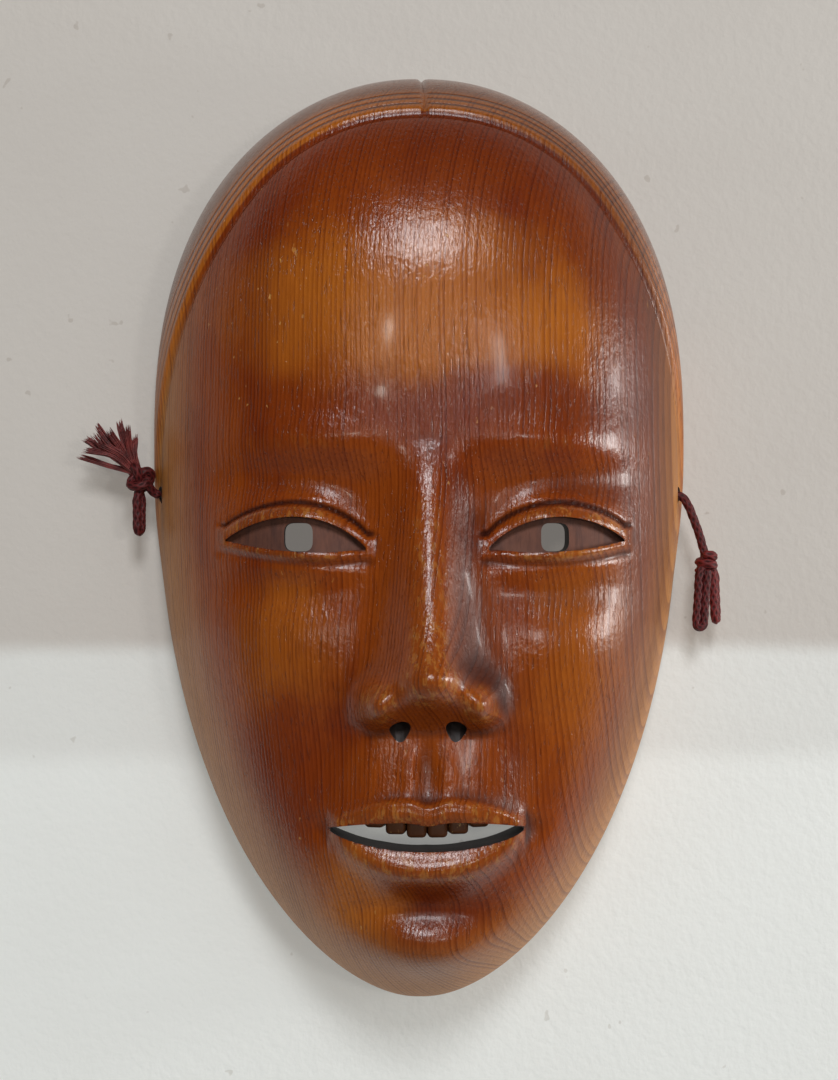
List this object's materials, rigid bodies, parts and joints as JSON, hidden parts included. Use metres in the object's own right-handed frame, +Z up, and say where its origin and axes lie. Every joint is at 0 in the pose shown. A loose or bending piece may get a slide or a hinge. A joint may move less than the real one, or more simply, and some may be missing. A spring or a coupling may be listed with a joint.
{
  "type": "noh mask",
  "caption": "Carved wooden theatre mask with a calm face, parted hair band, open eyes and mouth, and a knotted hanging cord through its sides.",
  "frame": {"origin": "on the flat plane of the back rim, in the middle of the mask's width, level with the two cord holes", "axes": "+Z up along the mask's length, face towards -Y, +X to the right as the face is seen from the front"},
  "size_m": [0.1514, 0.0703, 0.2162],
  "materials": {
    "lacquered_wood": "transparent red-brown lacquer, glossy, over straight upright grain; dull and dark inside",
    "silk_cord": "twisted burgundy silk, soft sheen"
  },
  "bodies": {
    "mask": {"mask_shell": "lacquered_wood", "left_knot": "silk_cord", "left_tuft": "silk_cord"},
    "hanging_cord": {"hanging_cord": "silk_cord"},
    "right_tail": {"right_tail": "silk_cord"},
    "right_tassel": {"right_knot": "silk_cord", "front_loop": "silk_cord", "side_loop": "silk_cord"},
    "left_bight": {"left_loop": "silk_cord"}
  },
  "joints": [
    {"name": "cord_swing", "type": "hinge", "parent": "mask", "child": "hanging_cord", "pos_m": [0, -0.011, 0], "axis": [1, 0, 0], "range_deg": [-60, 180]},
    {"name": "right_tail_swing", "type": "hinge", "parent": "mask", "child": "right_tail", "pos_m": [0.0612, -0.011, 0], "axis": [1, 0, 0], "range_deg": [-70, 70]},
    {"name": "tassel_swing", "type": "hinge", "parent": "right_tail", "child": "right_tassel", "pos_m": [0.0667, -0.011, -0.0128], "axis": [0, -1, 0], "range_deg": [-5, 55]},
    {"name": "left_loop_swing", "type": "hinge", "parent": "mask", "child": "left_bight", "pos_m": [-0.0656, -0.011, -0.0006], "axis": [1, 0, 0], "range_deg": [-35, 35]}
  ]
}
